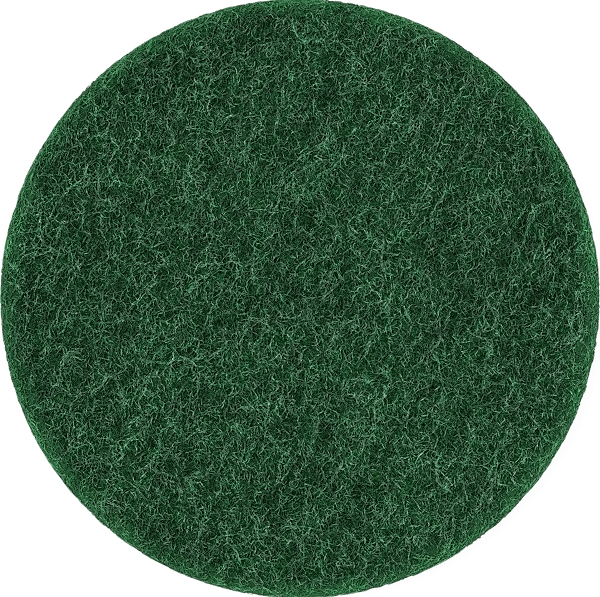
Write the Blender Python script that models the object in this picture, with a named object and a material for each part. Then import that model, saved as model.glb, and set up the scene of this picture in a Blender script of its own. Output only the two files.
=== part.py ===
"""A non-woven abrasive disc: one soft pad of bonded green fibres, cut round by a die.

Units are metres and +Z is up. The origin is the centre of the back, which is flat and lies on the
plane z = 0. The front, at the top, is the working face: its web stands in tufts with hollows
between them. The die has drawn the rim down into a soft shoulder.
"""

import math

import bmesh
import bpy
from mathutils import Vector, noise

# Driving dimensions of the round envelope that the fibres fill
DISC_DIAMETER = 0.125
DISC_THICKNESS = 0.010
SHOULDER_RADIUS = 0.0022
HEEL_RADIUS = 0.0010

# Relief of the web, sunk inwards from the envelope
TUFT_SPACING = 0.0065
FRONT_HOLLOW_DEPTH = 0.0007
WALL_HOLLOW_DEPTH = 0.0003

# Fineness of the surface
FRONT_RING_SPACING = 0.0021
WALL_RING_SPACING = 0.0020
ARC_RING_ANGLE = math.radians(22.5)

# Noise that the relief is read from, between 0 on a tuft and 1 in a hollow
RELIEF_OCTAVES = 3
RELIEF_OCTAVE_FALLOFF = 1.0
RELIEF_OCTAVE_RATIO = 2.0
RELIEF_MEAN = 0.5
RELIEF_GAIN = 0.8

# Finish
WEB_COLOUR = (0.022, 0.068, 0.032, 1.0)
WEB_ROUGHNESS = 0.7

QUARTER_TURN = math.pi / 2
ENVELOPE_RADIUS = DISC_DIAMETER / 2
FRONT_RADIUS = ENVELOPE_RADIUS - SHOULDER_RADIUS
HEXAGON_SIDES = 6


def clear_scene():
    """Removes whatever objects the open file holds."""
    for item in list(bpy.data.objects):
        bpy.data.objects.remove(item, do_unlink=True)


def hollow_share(point):
    """Share of the relief's depth at a point: 0 on top of a tuft, 1 at the bottom of a hollow."""
    place = point / TUFT_SPACING
    swell = noise.fractal(place, RELIEF_OCTAVE_FALLOFF, RELIEF_OCTAVE_RATIO, RELIEF_OCTAVES)
    return min(max(RELIEF_MEAN + RELIEF_GAIN * swell, 0.0), 1.0)


def web_point(heading, radius, height, lean):
    """A point of the web's surface.

    heading is a level unit vector, and radius and height place the point on the envelope. lean is
    the angle of the envelope's outward normal from +Z: 0 on the front, a quarter turn on the wall
    and a half turn on the back.
    """
    on_envelope = heading * radius + Vector((0, 0, height))
    outward = heading * math.sin(lean) + Vector((0, 0, math.cos(lean)))
    depth = FRONT_HOLLOW_DEPTH * max(math.cos(lean), 0.0) + WALL_HOLLOW_DEPTH * math.sin(lean)
    return on_envelope - outward * depth * hollow_share(on_envelope)


def arc_rings(centre_radius, centre_height, arc_radius, first_lean):
    """Rings round a quarter arc of the section, after its first point: (radius, height, lean)."""
    count = max(round(QUARTER_TURN / ARC_RING_ANGLE), 1)
    for step in range(1, count + 1):
        lean = first_lean + QUARTER_TURN * step / count
        radius = centre_radius + arc_radius * math.sin(lean)
        height = centre_height + arc_radius * math.cos(lean)
        yield radius, height, lean


def wall_rings(top, bottom):
    """Rings down the upright wall, between its two arcs: (radius, height, lean)."""
    count = max(round((top - bottom) / WALL_RING_SPACING), 1)
    for step in range(1, count + 1):
        yield ENVELOPE_RADIUS, top + (bottom - top) * step / count, QUARTER_TURN


def section_rings():
    """Rings from the front's edge over the shoulder, down the wall and round the heel."""
    wall_top = DISC_THICKNESS - SHOULDER_RADIUS
    yield from arc_rings(FRONT_RADIUS, wall_top, SHOULDER_RADIUS, 0.0)
    yield from wall_rings(wall_top, HEEL_RADIUS)
    yield from arc_rings(ENVELOPE_RADIUS - HEEL_RADIUS, HEEL_RADIUS, HEEL_RADIUS, QUARTER_TURN)


def hexagon_reach(heading):
    """Distance from the centre to the outline of a unit hexagon that has a corner on +Y."""
    sector = 2 * math.pi / HEXAGON_SIDES
    from_corner = math.atan2(heading.x, heading.y) % sector
    return math.cos(sector / 2) / math.cos(from_corner - sector / 2)


def add_front(mesh):
    """The front: a hexagon of even triangles, with each of its rings pushed out to a circle."""
    ring_count = max(round(FRONT_RADIUS / FRONT_RING_SPACING), 2)
    bmesh.ops.create_circle(mesh, cap_ends=True, cap_tris=True, segments=HEXAGON_SIDES, radius=1.0)
    bmesh.ops.subdivide_edges(mesh, edges=mesh.edges, cuts=ring_count - 1, use_grid_fill=True)
    for vertex in mesh.verts:
        heading = vertex.co.normalized()
        ring_share = vertex.co.length / hexagon_reach(heading)
        vertex.co = web_point(heading, FRONT_RADIUS * ring_share, DISC_THICKNESS, 0.0)


def add_side(mesh):
    """Extrudes the front's edge ring by ring down to the back, and gives the back's outline."""
    outline = [edge for edge in mesh.edges if edge.is_boundary]
    for radius, height, lean in section_rings():
        grown = bmesh.ops.extrude_edge_only(mesh, edges=outline)["geom"]
        outline = [item for item in grown if isinstance(item, bmesh.types.BMEdge)]
        for vertex in (item for item in grown if isinstance(item, bmesh.types.BMVert)):
            heading = Vector((vertex.co.x, vertex.co.y, 0)).normalized()
            vertex.co = web_point(heading, radius, height, lean)
    return outline


def make_disc():
    """The whole pad as one closed mesh, with a flat back."""
    mesh = bmesh.new()
    add_front(mesh)
    back_outline = add_side(mesh)
    bmesh.ops.edgeloop_fill(mesh, edges=back_outline)
    bmesh.ops.recalc_face_normals(mesh, faces=mesh.faces)
    data = bpy.data.meshes.new("abrasive_disc")
    mesh.to_mesh(data)
    mesh.free()
    data.shade_smooth()
    data.materials.append(web_material())
    return data


def web_material():
    """Dull green, as the fibres, their bond and the gaps between them look together."""
    material = bpy.data.materials.new("green_web")
    material.use_nodes = True
    shader = material.node_tree.nodes["Principled BSDF"]
    shader.inputs["Base Color"].default_value = WEB_COLOUR
    shader.inputs["Roughness"].default_value = WEB_ROUGHNESS
    shader.inputs["Metallic"].default_value = 0.0
    return material


def main():
    clear_scene()
    disc = bpy.data.objects.new("abrasive_disc", make_disc())
    bpy.context.scene.collection.objects.link(disc)


main()
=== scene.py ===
"""Looks of a non-woven abrasive disc: a springy pad of bonded green fibres, seen from straight above.

Lengths are in metres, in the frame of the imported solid, whose surface is a smooth round envelope with
a shallow relief sunk into it. A core stands for the solid, under fibres that are real tubes: on the
front and round its shoulder, on the die-cut wall, and on the back.

A place on the envelope is a heading round the disc and a run, which is the length along the section:
from the centre of the front, over the shoulder, down the wall, round the heel and in to the centre
of the back. A depth is measured inwards from there.
"""
import math
from typing import NamedTuple

import bpy
import mathutils
import numpy as np
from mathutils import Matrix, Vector
from mathutils.bvhtree import BVHTree


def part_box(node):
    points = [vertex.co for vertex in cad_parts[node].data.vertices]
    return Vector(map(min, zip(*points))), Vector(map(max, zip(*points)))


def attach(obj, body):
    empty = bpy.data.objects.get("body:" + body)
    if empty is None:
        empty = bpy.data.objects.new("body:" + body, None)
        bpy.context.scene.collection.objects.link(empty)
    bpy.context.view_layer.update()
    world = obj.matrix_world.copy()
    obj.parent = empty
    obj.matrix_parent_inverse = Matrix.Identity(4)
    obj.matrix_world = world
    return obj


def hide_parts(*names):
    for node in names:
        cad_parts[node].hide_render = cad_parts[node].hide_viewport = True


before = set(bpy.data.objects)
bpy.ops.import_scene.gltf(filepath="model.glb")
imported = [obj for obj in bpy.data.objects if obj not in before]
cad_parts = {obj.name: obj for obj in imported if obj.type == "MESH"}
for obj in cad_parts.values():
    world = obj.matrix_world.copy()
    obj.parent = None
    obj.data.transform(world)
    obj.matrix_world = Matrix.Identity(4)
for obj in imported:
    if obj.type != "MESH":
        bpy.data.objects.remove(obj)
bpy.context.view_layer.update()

NODE = "abrasive_disc"
SEED = 41

# Section of the envelope, which the solid's source also has
SHOULDER_RADIUS = 0.0022
HEEL_RADIUS = 0.0010
ARC_STEPS = 24

# Grid on which the solid's own relief is read, and the share of it that the die-cut wall keeps
RELIEF_HEADINGS = 540
RELIEF_RUNS = 160
RAY_START = 0.001
WALL_RELIEF_SHARE = 0.1

# Cells of the web, drawn out as it was laid: ridges round pits, which the fibres sink into
LAY_TURN = -0.36
CELL_SIZE = (0.0030, 0.0068, 0.0100)
CELL_BEND = 0.35
CELL_SLOPE = 0.75
PIT_SHARPNESS = 0.7
PIT_DEPTH = 0.00034

# Paths of the fibres: how they wander sideways and weave up and down, how their ends dive, and how
# softly those at the top are pressed under the envelope
KINK_REACH = 0.00030
WEAVE_REACH = 0.00045
CRINKLE = 0.00020
END_DIVE = 0.0005
END_DIVE_POWER = 3
TOP_CROWD = 0.00006

# Tubes of the fibres: how their radius and tone differ from one to the next and swing along each
TUBE_SIDES = 3
FEWEST_POINTS = 3
SHORTEST_SIDE = 1e-6
TUBE_SPREAD = 0.25
TUBE_SWING = 0.30
TONE_RANGE = (0.40, 0.54)
TONE_SWING = 0.21

# Reaches of smooth random numbers, in steps of a fibre, and how many reaches the smoothing spans
SWING_REACH = 0.6
CRINKLE_REACH = 0.5
KERNEL_REACHES = 3

# How the fibres are spread over the faces, and which way they are laid
GOLDEN_ANGLE = math.pi * (3 - math.sqrt(5))
START_SCATTER = 0.0003
FIBRE_LAY = math.pi / 2 + 0.1
LAID_SHARE = 0.45
LAID_SPREAD = 0.60
WALL_SPREAD = 0.80
WALL_START_SHARE = 0.8

# Bundles: a few long fibres side by side, over the others
BUNDLE_FIBRES = 3
BUNDLE_SCATTER = 0.0015
BUNDLE_SPREAD = 0.70


class Kind(NamedTuple):
    """Fibres of one kind: their steps, kink in radians a metre, depths and radius."""

    steps: int
    step: float
    kink: float
    shallow: float
    deep: float
    weave: float
    radius: float


FRONT = Kind(steps=7, step=0.00058, kink=600.0, shallow=0.00008, deep=0.00036, weave=0.00016,
             radius=0.000092)
LONG = Kind(steps=20, step=0.00072, kink=420.0, shallow=0.00003, deep=0.00016, weave=0.00010,
            radius=0.000088)
BACK = Kind(steps=22, step=0.0010, kink=250.0, shallow=0.00008, deep=0.00036, weave=0.00016,
            radius=0.00014)
WALL = Kind(steps=16, step=0.0008, kink=430.0, shallow=0.00006, deep=0.00018, weave=0.00005,
            radius=0.00012)

# How many there are of each
FRONT_COUNT = 19000
FRONT_PIECES = 4
LONG_BUNDLES = 220
BACK_COUNT = 440
WALL_COUNT = 1500

# Core under the fibres: the size of its faces, its depths and how uneven they are
CORE_FACE = 0.0010
CORE_FRONT_DEPTH = 0.0010
CORE_BACK_DEPTH = 0.0004
CORE_WALL_DEPTH = 0.00015
CORE_UNEVENNESS = 0.25

# Ranges, and white, that several materials use
UNIT = (0.0, 1.0)
NOISE_CENTRE = 0.5
NOISE_RANGE = (0.3, 0.7)
WHITE = (1.0, 1.0, 1.0)

# Lightness of the web's regions: clouds of random tone, and pits darker than ridges, which is painted shade
# in the pits and painted light on the ridges
CLOUDS = dict(scale=110.0, detail=1.0, offset=0.53, stretch=2.0)
CLOUD_LIGHT = (0.81, 1.19)
PIT_PAINTED_SHADE = (1.19, 0.79)

# Patches of purer green and of greyer green
PATCHES = dict(scale=450.0, detail=2.0, stretch=1.6)
PATCH_TINTS = [(0.34, (1.04, 0.91, 0.95)), (0.50, WHITE), (0.68, (0.77, 1.06, 0.92))]

# Band of painted light at the rim, where light enters the web's edge: there the web is greener and paler, and
# the band grows over this reach and this height
RIM_REACHES = (0.0580, 0.0614)
RIM_HEIGHTS = (0.0062, 0.0078)
RIM_FOOT_SHARE = 0.2
RIM_CLOUDS = dict(scale=140.0, detail=2.0, offset=0.21)
RIM_CLOUD = 0.45
RIM_FIBRE_SHARE = 0.5
RIM_PAINTED_FIBRE_LIGHT = 0.11
RIM_PAINTED_LIGHT_TINT = (0.93, 1.26, 1.05)
RIM_CORE_SHARE = 0.8
RIM_CORE_PAINTED_LIGHT = (0.024, 0.120, 0.042)

# Brightness of a fibre by its tone, its depth and the grain of its coat. The dimming with depth is painted
# shade, in place of the shade that the fibres above cast down into the web
TONE_LIGHT = (0.044, 0.238)
DEPTH_RANGE = (0.00015, 0.0008)
DEPTH_PAINTED_SHADE = (1.0, 0.17)
# The grain's brightest spots are partly the coat's real grit and partly painted glints
GRAIN = dict(scale=2300.0, detail=1.0)
GRAIN_RANGE = (0.33, 0.67)
GRAIN_AND_GLINT_LIGHT = (0.30, 1.74)

# Colour of the coated fibre by its brightness: purer green in the dark, greyer in the light. Its greyer pale
# end is partly a painted sheen, in place of the coat's white sheen
FIBRE_AND_SHEEN_COLOURS = [(0.0, (0.0, 0.016, 0.0)), (0.015, (0.001, 0.020, 0.004)), (0.06, (0.014, 0.066, 0.026)),
                 (0.16, (0.056, 0.161, 0.082)), (0.30, (0.134, 0.295, 0.175)), (0.48, (0.242, 0.468, 0.300))]

# Share of a region's lightness, its clouds with the painted shade of its pits and painted light of its
# ridges, that moves the fibres along those colours; the rest dims or brightens them
GREYING = 0.15

# Finish of the fibre's coat, with its grit
GRIT = dict(scale=9000.0, detail=2.0)
GRIT_BUMP = dict(Strength=0.35, Distance=0.00004)
FIBRE_ROUGHNESS = (0.3, 0.5)
FIBRE_SPECULAR = 0.10

# Core's finish, with the strands that are drawn on it. Its near-black green, darkest between the strands, is
# painted shade in place of the shade deep in the web
STRANDS = [dict(scale=900.0, detail=1.0), dict(scale=1300.0, detail=1.0, offset=0.37),
           dict(scale=1700.0, detail=1.0, offset=0.91)]
STRAND_HALF_WIDTH = 0.035
STRAND_AND_GAP_SHADE_COLOURS = [(0.0, (0.0, 0.014, 0.0005)), (1.0, (0.029, 0.113, 0.047))]
STRAND_BUMP = dict(Strength=0.8, Distance=0.0002)
CORE_ROUGHNESS = 0.9
CORE_SPECULAR = 0.05

# Photograph's frame in its pixels, the lens in millimetres, and the nearest and furthest that is seen
PHOTO_WIDTH = 600
DISC_HALF_WIDTH = 300.2
SENSOR_WIDTH = 36.0
LENS = 135.0
NEAREST_SEEN = 0.01
FURTHEST_SEEN = 10.0

# Picture's finish: filter and colour blur in pixels
FILTER_WIDTH = 1.5
DISPLAY_GAMMA = 2.2
SHARPENING = 0.18
COLOUR_BLUR = (4.0, 4.0)

# Floor, which glows so that it is white right up to the disc
FLOOR_REACH = 3.0
FLOOR_COLOUR = (0.05, 0.05, 0.05, 1.0)
FLOOR_ROUGHNESS = 0.9
FLOOR_GLOW = 0.93

# Light: each softbox's place, width and power, and the studio's greys from its walls to its ceiling
SOFTBOXES = {"key_softbox": ((-0.57, 0.33, 1.53), 0.57, 34.1),
             "fill_softbox": ((0.36, -0.26, 0.64), 0.40, 2.4)}
STUDIO_GREYS = [(0.12, WHITE), (0.5, (0.5, 0.5, 0.5))]

low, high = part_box(NODE)
RADIUS = max(high.x, high.y, -low.x, -low.y)
THICKNESS = high.z - low.z

# Noise vectors, which bend the cells, start from the clock unless they get a seed
mathutils.noise.seed_set(SEED)


def make_section():
    """The envelope's section: rows of run, radius, height and the outward normal's two parts."""
    turns = np.linspace(0.0, math.pi / 2, ARC_STEPS)
    heel = RADIUS - HEEL_RADIUS
    radius = np.concatenate([[0.0], FRONT_EDGE + SHOULDER_RADIUS * np.sin(turns),
                             heel + HEEL_RADIUS * np.cos(turns), [0.0]])
    height = np.concatenate([[THICKNESS], THICKNESS - SHOULDER_RADIUS * (1 - np.cos(turns)),
                             HEEL_RADIUS * (1 - np.sin(turns)), [0.0]])
    lean = np.concatenate([[0.0], turns, math.pi / 2 + turns, [math.pi]])
    run = np.concatenate([[0.0], np.cumsum(np.hypot(np.diff(radius), np.diff(height)))])
    return np.stack([run, radius, height, np.sin(lean), np.cos(lean)])


FRONT_EDGE = RADIUS - SHOULDER_RADIUS
SECTION = make_section()
WALL_TOP = SECTION[0, ARC_STEPS]
WALL_START = FRONT_EDGE + WALL_START_SHARE * (WALL_TOP - FRONT_EDGE)
WALL_BOTTOM = SECTION[0, ARC_STEPS + 1]
BACK_EDGE = SECTION[0, 2 * ARC_STEPS]
WHOLE_RUN = SECTION[0, -1]


def place(heading, run, depth):
    """Points at those headings, runs and depths, and the envelope's outward normals there."""
    radius, height, out_level, out_up = (np.interp(run, SECTION[0], row) for row in SECTION[1:])
    level = radius - out_level * depth
    points = np.stack([level * np.cos(heading), level * np.sin(heading), height - out_up * depth], -1)
    normals = np.stack([out_level * np.cos(heading), out_level * np.sin(heading), out_up], -1)
    return points, normals


def read_relief():
    """How far the solid's surface lies under its envelope, by heading and run."""
    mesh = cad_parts[NODE].data
    corners = [vertex.co for vertex in mesh.vertices]
    tree = BVHTree.FromPolygons(corners, [face.vertices for face in mesh.polygons])
    headings = np.linspace(-math.pi, math.pi, RELIEF_HEADINGS)
    runs = np.linspace(0.0, WHOLE_RUN, RELIEF_RUNS)
    grid = np.meshgrid(headings, runs, indexing="ij")
    starts, normals = place(grid[0], grid[1], -RAY_START)
    relief = np.zeros(grid[0].shape)
    for index in np.ndindex(relief.shape):
        distance = tree.ray_cast(Vector(starts[index]), -Vector(normals[index]))[3]
        relief[index] = max((distance or RAY_START) - RAY_START, 0.0)
    return relief


RELIEF = read_relief()


def relief_at(heading, run):
    """The solid's relief between the grid's points."""
    column = (heading + math.pi) / (2 * math.pi) * (RELIEF_HEADINGS - 1)
    row = run / WHOLE_RUN * (RELIEF_RUNS - 1)
    left = np.clip(column.astype(int), 0, RELIEF_HEADINGS - 2)
    above = np.clip(row.astype(int), 0, RELIEF_RUNS - 2)
    across = column - left
    down = np.clip(row - above, 0, 1)
    upper = RELIEF[left, above] * (1 - across) + RELIEF[left + 1, above] * across
    lower = RELIEF[left, above + 1] * (1 - across) + RELIEF[left + 1, above + 1] * across
    return upper * (1 - down) + lower * down


def kept_share(run):
    """Share of the relief that is kept: all on the front, and little on the wall, which a die has cut."""
    return np.interp(run, [FRONT_EDGE, WALL_TOP], [1.0, WALL_RELIEF_SHARE])


def cut_relief(points):
    """How far those points of the solid's shoulder or wall lie under the surface that the die has cut."""
    above = points[:, 2] - (THICKNESS - SHOULDER_RADIUS)
    beyond = np.hypot(points[:, 0], points[:, 1]) - FRONT_EDGE
    turn = np.arctan2(np.maximum(beyond, 0.0), np.maximum(above, 0.0))
    run = FRONT_EDGE + SHOULDER_RADIUS * turn + np.maximum(-above, 0.0)
    return relief_at(np.arctan2(points[:, 1], points[:, 0]), run) * (1 - kept_share(run))


def pit_share(points):
    """How far each point of the web lies in a pit: 0 on a ridge and 1 in the middle of a cell."""
    across = points[:, 0] * math.cos(LAY_TURN) + points[:, 1] * math.sin(LAY_TURN)
    along = points[:, 1] * math.cos(LAY_TURN) - points[:, 0] * math.sin(LAY_TURN)
    cells = np.stack([across, along, points[:, 2]], -1) / CELL_SIZE
    shares = np.empty(len(points))
    for index, cell in enumerate(map(Vector, cells)):
        bent = cell + CELL_BEND * mathutils.noise.noise_vector(cell)
        nearest = mathutils.noise.voronoi(bent)[0]
        shares[index] = (nearest[1] - nearest[0]) / CELL_SLOPE
    return np.clip(shares, 0.0, 1.0) ** PIT_SHARPNESS


def smooth_noise(random, rows, columns, reach):
    """Rows of smooth random numbers with a spread of 1, which change over about reach columns."""
    side = int(KERNEL_REACHES * reach) + 1
    kernel = np.exp(-0.5 * (np.arange(-side, side + 1) / reach) ** 2)
    kernel /= np.sqrt((kernel ** 2).sum())
    raw = random.standard_normal((rows, columns + 2 * side))
    return np.stack([raw[:, i:i + columns] for i in range(2 * side + 1)], -1) @ kernel


def stroll(random, starts, headings, kind):
    """Paths of fibres in the plane, from their starts, each of which wanders about its heading."""
    turns = smooth_noise(random, len(starts), kind.steps, KINK_REACH / kind.step) * kind.kink * kind.step
    bends = np.cumsum(turns, axis=1)
    heading = headings[:, None] + bends - bends.mean(axis=1, keepdims=True)
    moves = np.stack([np.cos(heading), np.sin(heading)], -1) * kind.step
    moves[:, 0] = 0.0
    return starts[:, None] + np.cumsum(moves, axis=1)


def crinkled(random, flat):
    """The same paths, with every point of them a little astray."""
    stray = [smooth_noise(random, *flat.shape[:2], CRINKLE_REACH) for _ in range(2)]
    return flat + CRINKLE * np.stack(stray, -1)


def fibre_depths(random, shape, kind):
    """Depths along fibres: each has its own level and weaves up and down, and its ends dive."""
    level = random.uniform(kind.shallow, kind.deep, (shape[0], 1))
    along = np.linspace(-1.0, 1.0, shape[1])
    weave = kind.weave * smooth_noise(random, *shape, WEAVE_REACH / kind.step)
    return level + weave + END_DIVE * np.abs(along) ** END_DIVE_POWER


def build_mesh(name, vertices, face_groups):
    """A smooth mesh from arrays of corners and of faces, each array with one number of corners."""
    mesh = bpy.data.meshes.new(name)
    mesh.vertices.add(len(vertices))
    mesh.vertices.foreach_set("co", vertices.astype(np.float32).ravel())
    loops = np.concatenate([group.ravel() for group in face_groups])
    sizes = np.concatenate([np.full(len(group), group.shape[1]) for group in face_groups])
    mesh.loops.add(len(loops))
    mesh.loops.foreach_set("vertex_index", loops.astype(np.int32))
    mesh.polygons.add(len(sizes))
    mesh.polygons.foreach_set("loop_start", (np.cumsum(sizes) - sizes).astype(np.int32))
    mesh.update(calc_edges=True)
    mesh.shade_smooth()
    return mesh


def tube_mesh(name, points, normals, radii, counts):
    """One mesh of closed tubes through the first counts points of each row, a ridge facing outwards."""
    along = np.gradient(points, axis=1)
    along /= np.linalg.norm(along, axis=-1, keepdims=True)
    side = np.cross(along, normals)
    side /= np.maximum(np.linalg.norm(side, axis=-1, keepdims=True), SHORTEST_SIDE)
    ridge = np.cross(side, along)
    turns = 2 * math.pi * np.arange(TUBE_SIDES) / TUBE_SIDES
    spokes = ridge[..., None, :] * np.cos(turns)[:, None] + side[..., None, :] * np.sin(turns)[:, None]
    rings = points[..., None, :] + spokes * radii[..., None, None]
    used = np.arange(points.shape[1]) < counts[:, None]
    number = np.cumsum(used.ravel()).reshape(used.shape) - 1
    joined = used[:, :-1] & used[:, 1:]
    first = number[:, :-1][joined][:, None] * TUBE_SIDES
    second = number[:, 1:][joined][:, None] * TUBE_SIDES
    corner = np.arange(TUBE_SIDES)
    after = (corner + 1) % TUBE_SIDES
    quads = np.stack([first + corner, second + corner, second + after, first + after], -1)
    starts = number[:, :1] * TUBE_SIDES
    ends = number[np.arange(len(counts)), counts - 1][:, None] * TUBE_SIDES
    caps = np.concatenate([starts + corner, ends + corner[::-1]])
    return build_mesh(name, rings[used].reshape(-1, 3), [quads.reshape(-1, 4), caps])


def add_number(mesh, name, values):
    """Stores one number for each vertex, which a material reads."""
    attribute = mesh.attributes.new(name, "FLOAT", "POINT")
    attribute.data.foreach_set("value", values.astype(np.float32))


def add_piece(mesh, material):
    """Shows the mesh as a piece of the disc, riding on its one body."""
    mesh.materials.append(material)
    piece = bpy.data.objects.new(mesh.name, mesh)
    bpy.context.scene.collection.objects.link(piece)
    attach(piece, "root")
    return piece


def make_fibres(name, random, heading, run, depth, keep, radius, material):
    """A piece of fibres, each followed while keep holds. Their radius and tone vary along them."""
    counts = np.where(keep.all(axis=1), keep.shape[1], np.argmin(keep, axis=1))
    good = counts >= FEWEST_POINTS
    heading, run, depth, counts = heading[good], run[good], depth[good], counts[good]
    shape = run.shape
    own = random.uniform(1 - TUBE_SPREAD, 1 + TUBE_SPREAD, (shape[0], 1))
    radii = radius * own * np.exp(TUBE_SWING * smooth_noise(random, *shape, SWING_REACH))
    pit = pit_share(place(heading, run, 0.0)[0].reshape(-1, 3)).reshape(shape)
    depth = depth + np.interp(run, [FRONT_EDGE, WALL_TOP], [PIT_DEPTH, 0.0]) * pit
    depth = radii + TOP_CROWD * np.logaddexp(0.0, (depth - radii) / TOP_CROWD)
    points, normals = place(heading, run, depth + relief_at(heading, run) * kept_share(run))
    mesh = tube_mesh(name, points, normals, radii, counts)
    used = np.arange(shape[1]) < counts[:, None]
    tone = random.uniform(*TONE_RANGE, (shape[0], 1)) + TONE_SWING * smooth_noise(random, *shape, SWING_REACH)
    for label, values in (("tone", tone), ("depth", depth), ("pit", pit)):
        add_number(mesh, label, np.repeat(values[used], TUBE_SIDES))
    add_piece(mesh, material)


def even_starts(random, number, scatter):
    """Places spread over the whole face, evenly but for their scatter."""
    reach = WALL_TOP * np.sqrt(number / number.max())
    turn = GOLDEN_ANGLE * number
    starts = np.stack([reach * np.cos(turn), reach * np.sin(turn)], -1)
    return starts + scatter * random.standard_normal(starts.shape)


def lay_on_face(name, random, flat, kind, material, back=False):
    """A piece of fibres that follow those paths over the front or back, and end at the wall."""
    limit = WHOLE_RUN - WALL_BOTTOM if back else WALL_TOP
    flat = crinkled(random, flat)
    away = np.hypot(flat[..., 0], flat[..., 1])
    run = WHOLE_RUN - away if back else away
    depth = fibre_depths(random, run.shape, kind)
    heading = np.arctan2(flat[..., 1], flat[..., 0])
    make_fibres(name, random, heading, run, depth, away < limit, kind.radius, material)


def face_fibres(name, seed, number, kind, material, back=False):
    """Fibres spread evenly over the front or back, of which a share is laid one way."""
    random = np.random.default_rng(seed)
    starts = even_starts(random, number, START_SCATTER)
    laid = random.normal(FIBRE_LAY, LAID_SPREAD, len(number))
    free = random.uniform(-math.pi, math.pi, len(number))
    headings = np.where(random.random(len(number)) < LAID_SHARE, laid, free)
    lay_on_face(name, random, stroll(random, starts, headings, kind), kind, material, back)


def bundle_fibres(name, seed, count, kind, material):
    """Bundles of long fibres on the front, which draw its ridges."""
    random = np.random.default_rng(seed)
    starts = even_starts(random, np.arange(count), BUNDLE_SCATTER)
    headings = random.normal(math.pi / 2 + LAY_TURN, BUNDLE_SPREAD, count)
    flat = np.repeat(stroll(random, starts, headings, kind), BUNDLE_FIBRES, axis=0)
    lay_on_face(name, random, flat, kind, material)


def wall_fibres(name, seed, count, kind, material):
    """Fibres cut open on the wall: mostly level, as the web was laid."""
    random = np.random.default_rng(seed)
    starts = np.stack([random.uniform(-math.pi, math.pi, count) * RADIUS,
                       random.uniform(WALL_START, BACK_EDGE, count)], -1)
    headings = random.normal(0.0, WALL_SPREAD, count) + math.pi * random.integers(0, 2, count)
    flat = crinkled(random, stroll(random, starts, headings, kind))
    heading = (flat[..., 0] / RADIUS + math.pi) % (2 * math.pi) - math.pi
    run = flat[..., 1]
    depth = fibre_depths(random, run.shape, kind)
    keep = (run > WALL_START) & (run < BACK_EDGE)
    make_fibres(name, random, heading, run, depth, keep, kind.radius, material)


def add_fibres(material):
    """All the fibres. Those of the front are split into pieces that each spread over the whole face."""
    for part in range(FRONT_PIECES):
        number = np.arange(part, FRONT_COUNT, FRONT_PIECES)
        face_fibres(f"front_fibres_{part + 1}", SEED + 1 + part, number, FRONT, material)
    bundle_fibres("long_fibres", SEED + 31, LONG_BUNDLES, LONG, material)
    face_fibres("back_fibres", SEED + 11, np.arange(BACK_COUNT), BACK, material, back=True)
    wall_fibres("wall_fibres", SEED + 21, WALL_COUNT, WALL, material)


def core_skin():
    """The solid's own surface as a new mesh of even small faces."""
    skin = bpy.data.objects.new("skin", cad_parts[NODE].data.copy())
    bpy.context.scene.collection.objects.link(skin)
    remesh = skin.modifiers.new("even_faces", "REMESH")
    remesh.mode = "VOXEL"
    remesh.voxel_size = CORE_FACE
    bpy.context.view_layer.update()
    even = bpy.data.meshes.new_from_object(skin.evaluated_get(bpy.context.evaluated_depsgraph_get()))
    bpy.data.objects.remove(skin)
    even.materials.clear()
    even.name = "web_core"
    return even


def vertex_vectors(mesh, name):
    """One vector of each vertex, in rows: its place or its normal."""
    vectors = np.empty(len(mesh.vertices) * 3)
    mesh.vertices.foreach_get(name, vectors)
    return vectors.reshape(-1, 3)


def make_core(material):
    """The bulk of the web, sunk under its top fibres: less on the wall, so that the rim stays closed."""
    mesh = core_skin()
    random = np.random.default_rng(SEED)
    corners = vertex_vectors(mesh, "co")
    normals = vertex_vectors(mesh, "normal")
    flatness = normals[:, 2] ** 2
    face_depth = np.where(normals[:, 2] > 0, CORE_FRONT_DEPTH, CORE_BACK_DEPTH)
    depth = CORE_WALL_DEPTH + (face_depth - CORE_WALL_DEPTH) * flatness
    depth *= 1.0 + CORE_UNEVENNESS * random.standard_normal(len(corners))
    depth -= cut_relief(corners) * (1 - flatness)
    add_number(mesh, "pit", pit_share(corners))
    corners -= normals * depth[:, None]
    mesh.vertices.foreach_set("co", corners.ravel())
    mesh.update()
    mesh.shade_smooth()
    core = add_piece(mesh, material)
    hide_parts(NODE)


def node(tree, kind, **values):
    """A shader node with its settings and its unlinked inputs set by name."""
    made = tree.nodes.new(kind)
    for key, value in values.items():
        if hasattr(made, key):
            setattr(made, key, value)
        else:
            made.inputs[key.replace("_", " ")].default_value = value
    return made


def new_material(name):
    """A new material, with its tree and its shader."""
    material = bpy.data.materials.new(name)
    material.use_nodes = True
    return material, material.node_tree, material.node_tree.nodes["Principled BSDF"]


def ramp(tree, fac, stops):
    """A colour that follows fac through stops of (position, colour)."""
    made = node(tree, "ShaderNodeValToRGB")
    elements = made.color_ramp.elements
    while len(elements) < len(stops):
        elements.new(1.0)
    for element, (position, colour) in zip(elements, stops):
        element.position = position
        element.color = (*colour, 1.0)
    tree.links.new(fac, made.inputs["Fac"])
    return made.outputs["Color"]


def feed(tree, sockets, values):
    """Gives each socket its value: an output of another node, or a plain number or colour."""
    for socket, value in zip(sockets, values):
        if isinstance(value, bpy.types.NodeSocket):
            tree.links.new(value, socket)
        else:
            socket.default_value = value


def arithmetic(tree, operation, *values):
    """One number made of others."""
    made = node(tree, "ShaderNodeMath", operation=operation)
    feed(tree, made.inputs, values)
    return made.outputs["Value"]


def product(tree, first, *others):
    """The product of some numbers."""
    for other in others:
        first = arithmetic(tree, "MULTIPLY", first, other)
    return first


def times(tree, colour, *factors):
    """The colour times other colours or numbers."""
    for factor in factors:
        made = node(tree, "ShaderNodeVectorMath", operation="MULTIPLY")
        feed(tree, made.inputs, (colour, factor))
        colour = made.outputs["Vector"]
    return colour


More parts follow.
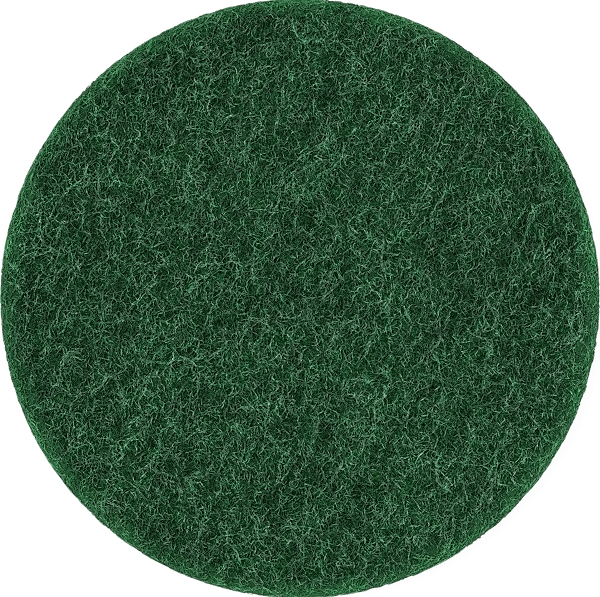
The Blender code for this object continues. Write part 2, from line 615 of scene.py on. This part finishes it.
def blend(tree, share, first, second):
    """The first colour where the share is 0 and the second where it is 1."""
    made = node(tree, "ShaderNodeMix", data_type="VECTOR")
    feed(tree, [socket for socket in made.inputs if socket.enabled], (share, first, second))
    return next(socket for socket in made.outputs if socket.enabled)


def noise(tree, scale, detail, offset=0.0, stretch=1.0):
    """Noise fixed to the disc, at scale swells a metre, and drawn out by stretch as the web was laid."""
    where = node(tree, "ShaderNodeTexCoord")
    shifted = node(tree, "ShaderNodeMapping", vector_type="TEXTURE")
    shifted.inputs["Location"].default_value = (offset, offset, offset)
    shifted.inputs["Rotation"].default_value = (0.0, 0.0, LAY_TURN)
    shifted.inputs["Scale"].default_value = (1.0, stretch, 1.0)
    made = node(tree, "ShaderNodeTexNoise", Scale=scale, Detail=detail)
    tree.links.new(where.outputs["Object"], shifted.inputs["Vector"])
    tree.links.new(shifted.outputs["Vector"], made.inputs["Vector"])
    return made.outputs["Fac"]


def span(tree, value, start, end):
    """The value, moved from the start range to the end range and kept within it."""
    made = node(tree, "ShaderNodeMapRange", From_Min=start[0], From_Max=start[1],
                To_Min=end[0], To_Max=end[1])
    tree.links.new(value, made.inputs["Value"])
    return made.outputs["Result"]


def stored(tree, name):
    """The number of that name that a mesh stores for each vertex."""
    return node(tree, "ShaderNodeAttribute", attribute_name=name).outputs["Fac"]


def add_bump(tree, shader, height, **values):
    """Gives the shader a bump that follows the height."""
    bump = node(tree, "ShaderNodeBump", **values)
    tree.links.new(height, bump.inputs["Height"])
    tree.links.new(bump.outputs["Normal"], shader.inputs["Normal"])


def painted_rim_light_share(tree):
    """Share of the painted light at the rim: 0 over the disc and 1 at its rim, with a cloudy start, and
    little of it further down the wall.
    """
    where = node(tree, "ShaderNodeTexCoord").outputs["Object"]
    level = times(tree, where, (1.0, 1.0, 0.0))
    reach = node(tree, "ShaderNodeVectorMath", operation="LENGTH")
    tree.links.new(level, reach.inputs[0])
    parts = node(tree, "ShaderNodeSeparateXYZ")
    tree.links.new(where, parts.inputs["Vector"])
    upper = span(tree, parts.outputs["Z"], RIM_HEIGHTS, (RIM_FOOT_SHARE, 1.0))
    outer = span(tree, reach.outputs["Value"], RIM_REACHES, UNIT)
    cloud = span(tree, noise(tree, **RIM_CLOUDS), NOISE_RANGE, (-RIM_CLOUD, RIM_CLOUD))
    ragged = product(tree, upper, outer, arithmetic(tree, "ADD", 1.0, cloud))
    return span(tree, ragged, UNIT, UNIT)


def cloud_tone_and_pit_shade(tree):
    """Lighter and darker clouds of the web, darker in the pits than on the ridges: painted shade in the pits
    and painted light on the ridges.
    """
    clouds = span(tree, noise(tree, **CLOUDS), NOISE_RANGE, CLOUD_LIGHT)
    return product(tree, clouds, span(tree, stored(tree, "pit"), UNIT, PIT_PAINTED_SHADE))


def region_tint(tree):
    """Patches of purer green and of greyer green."""
    return ramp(tree, noise(tree, **PATCHES), PATCH_TINTS)


def fibre_material():
    """Green resin-coated fibre: painted shade makes it darker deep down and in the pits, it is paler where
    its own tone is high, and painted light makes it greener and paler at the rim.
    """
    material, tree, shader = new_material("coated_green_fibre")
    own = span(tree, stored(tree, "tone"), UNIT, TONE_LIGHT)
    # Painted shade: the deeper a fibre lies, the darker its colour, in place of the shade cast by the fibres
    # above it
    deep = span(tree, stored(tree, "depth"), DEPTH_RANGE, DEPTH_PAINTED_SHADE)
    grain = span(tree, noise(tree, **GRAIN), GRAIN_RANGE, GRAIN_AND_GLINT_LIGHT)
    # Clouds of tone, times the painted shade of the pits and the painted light of the ridges
    light = cloud_tone_and_pit_shade(tree)
    bright = product(tree, own, deep, grain, arithmetic(tree, "POWER", light, GREYING))
    # Painted light at the rim: the fibres there are made paler and greener
    rim_painted_light = painted_rim_light_share(tree)
    bright = blend(tree, product(tree, rim_painted_light, RIM_FIBRE_SHARE), bright, (RIM_PAINTED_FIBRE_LIGHT,) * 3)
    # Dimming by the regions' clouds and by the painted shade of the pits
    dimming = arithmetic(tree, "POWER", light, 1 - GREYING)
    greener = ramp(tree, rim_painted_light, [(0.0, WHITE), (1.0, RIM_PAINTED_LIGHT_TINT)])
    # The pale greyer end of the fibre colours is partly a painted sheen
    colour = times(tree, ramp(tree, bright, FIBRE_AND_SHEEN_COLOURS), region_tint(tree), dimming, greener)
    tree.links.new(colour, shader.inputs["Base Color"])
    grit = noise(tree, **GRIT)
    add_bump(tree, shader, grit, **GRIT_BUMP)
    tree.links.new(span(tree, grit, NOISE_RANGE, FIBRE_ROUGHNESS), shader.inputs["Roughness"])
    shader.inputs["Specular IOR Level"].default_value = FIBRE_SPECULAR
    return material


def strand_lines(tree, **values):
    """Thin curved lines, 1 on them and 0 between, where a smooth noise crosses its middle."""
    away = arithmetic(tree, "SUBTRACT", noise(tree, **values), NOISE_CENTRE)
    return span(tree, arithmetic(tree, "ABSOLUTE", away), (0.0, STRAND_HALF_WIDTH), (1.0, 0.0))


def core_material():
    """The web's depth: nearly black green, which is painted shade of the depth, with dark strands drawn on
    it.
    """
    material, tree, shader = new_material("painted_shade_web_core")
    # Painted shade: a near-black sheet in place of the shaded depths of the web, with strands drawn on it
    strands, *others = [strand_lines(tree, **values) for values in STRANDS]
    for lines in others:
        strands = arithmetic(tree, "MAXIMUM", strands, lines)
    # The core's colour also carries the painted shade of the pits and the painted light of the ridges
    colour = times(tree, ramp(tree, strands, STRAND_AND_GAP_SHADE_COLOURS), region_tint(tree), cloud_tone_and_pit_shade(tree))
    # Painted light at the rim: the core there is made a paler green
    share = product(tree, painted_rim_light_share(tree), RIM_CORE_SHARE)
    tree.links.new(blend(tree, share, colour, RIM_CORE_PAINTED_LIGHT), shader.inputs["Base Color"])
    add_bump(tree, shader, strands, **STRAND_BUMP)
    shader.inputs["Roughness"].default_value = CORE_ROUGHNESS
    shader.inputs["Specular IOR Level"].default_value = CORE_SPECULAR
    return material


def add_camera():
    """Straight above, at the distance where the disc's widest level fills the photograph's width."""
    data = bpy.data.cameras.new("camera")
    data.lens = LENS
    data.sensor_width = SENSOR_WIDTH
    data.clip_start = NEAREST_SEEN
    data.clip_end = FURTHEST_SEEN
    camera = bpy.data.objects.new("camera", data)
    bpy.context.scene.collection.objects.link(camera)
    reach = RADIUS * (LENS / SENSOR_WIDTH) * PHOTO_WIDTH / DISC_HALF_WIDTH
    camera.location = (0.0, 0.0, THICKNESS - SHOULDER_RADIUS + reach)
    bpy.context.scene.camera = camera


def add_floor():
    """A plain near-white floor, well past the view."""
    reach = FLOOR_REACH
    vertices = np.array([[-reach, -reach, 0], [reach, -reach, 0], [reach, reach, 0], [-reach, reach, 0]])
    mesh = build_mesh("floor", vertices, [np.array([[0, 1, 2, 3]])])
    material, _, shader = new_material("pale_floor")
    shader.inputs["Base Color"].default_value = FLOOR_COLOUR
    shader.inputs["Roughness"].default_value = FLOOR_ROUGHNESS
    shader.inputs["Emission Color"].default_value = (*WHITE, 1.0)
    shader.inputs["Emission Strength"].default_value = FLOOR_GLOW
    mesh.materials.append(material)
    floor = bpy.data.objects.new("floor", mesh)
    bpy.context.scene.collection.objects.link(floor)


def add_studio():
    """Plain soft light from all round: pale walls and a dimmer ceiling."""
    world = bpy.data.worlds.new("studio")
    world.use_nodes = True
    tree = world.node_tree
    where = node(tree, "ShaderNodeTexCoord")
    parts = node(tree, "ShaderNodeSeparateXYZ")
    tree.links.new(where.outputs["Generated"], parts.inputs["Vector"])
    colour = ramp(tree, parts.outputs["Z"], STUDIO_GREYS)
    tree.links.new(colour, tree.nodes["Background"].inputs["Color"])
    tree.nodes["Background"].inputs["Strength"].default_value = 1.0
    bpy.context.scene.world = world


def add_softbox(name, location, size, power):
    """A square soft light that faces the disc."""
    data = bpy.data.lights.new(name, "AREA")
    data.size = size
    data.energy = power
    light = bpy.data.objects.new(name, data)
    light.location = location
    light.rotation_euler = (-Vector(location)).to_track_quat("-Z", "Y").to_euler()
    bpy.context.scene.collection.objects.link(light)


def treat(tree, kind, images, **values):
    """The images after one more step of the picture's finish."""
    made = node(tree, kind, **values)
    feed(tree, [socket for socket in made.inputs if socket.type == "RGBA"], images)
    return made.outputs["Image"]


def finish_picture():
    """A camera's finish, on brightness as the eye sees it: mild sharpening, and colour softer than it."""
    scene = bpy.context.scene
    scene.use_nodes = True
    tree = scene.node_tree
    tree.nodes.clear()
    image = tree.nodes.new("CompositorNodeRLayers").outputs["Image"]
    image = treat(tree, "CompositorNodeGamma", [image], Gamma=1 / DISPLAY_GAMMA)
    image = treat(tree, "CompositorNodeFilter", [image], filter_type="SHARPEN_DIAMOND", Fac=SHARPENING)
    bright = treat(tree, "CompositorNodeHueSat", [image], Saturation=0.0)
    soft = treat(tree, "CompositorNodeBlur", [image], filter_type="GAUSS", Size=COLOUR_BLUR)
    soft_bright = treat(tree, "CompositorNodeBlur", [bright], filter_type="GAUSS", Size=COLOUR_BLUR)
    detail = treat(tree, "CompositorNodeMixRGB", [bright, soft_bright], blend_type="SUBTRACT")
    image = treat(tree, "CompositorNodeMixRGB", [soft, detail], blend_type="ADD")
    image = treat(tree, "CompositorNodeGamma", [image], Gamma=DISPLAY_GAMMA)
    tree.links.new(image, tree.nodes.new("CompositorNodeComposite").inputs["Image"])


def set_picture():
    """Plain display colours, and no denoising, which would smear the fibres."""
    scene = bpy.context.scene
    scene.view_settings.view_transform = "Standard"
    scene.cycles.use_denoising = False
    scene.cycles.filter_width = FILTER_WIDTH
    finish_picture()


fibre = fibre_material()
make_core(core_material())
add_fibres(fibre)
add_camera()
add_floor()
add_studio()
for name, (location, size, power) in SOFTBOXES.items():
    add_softbox(name, location, size, power)
set_picture()
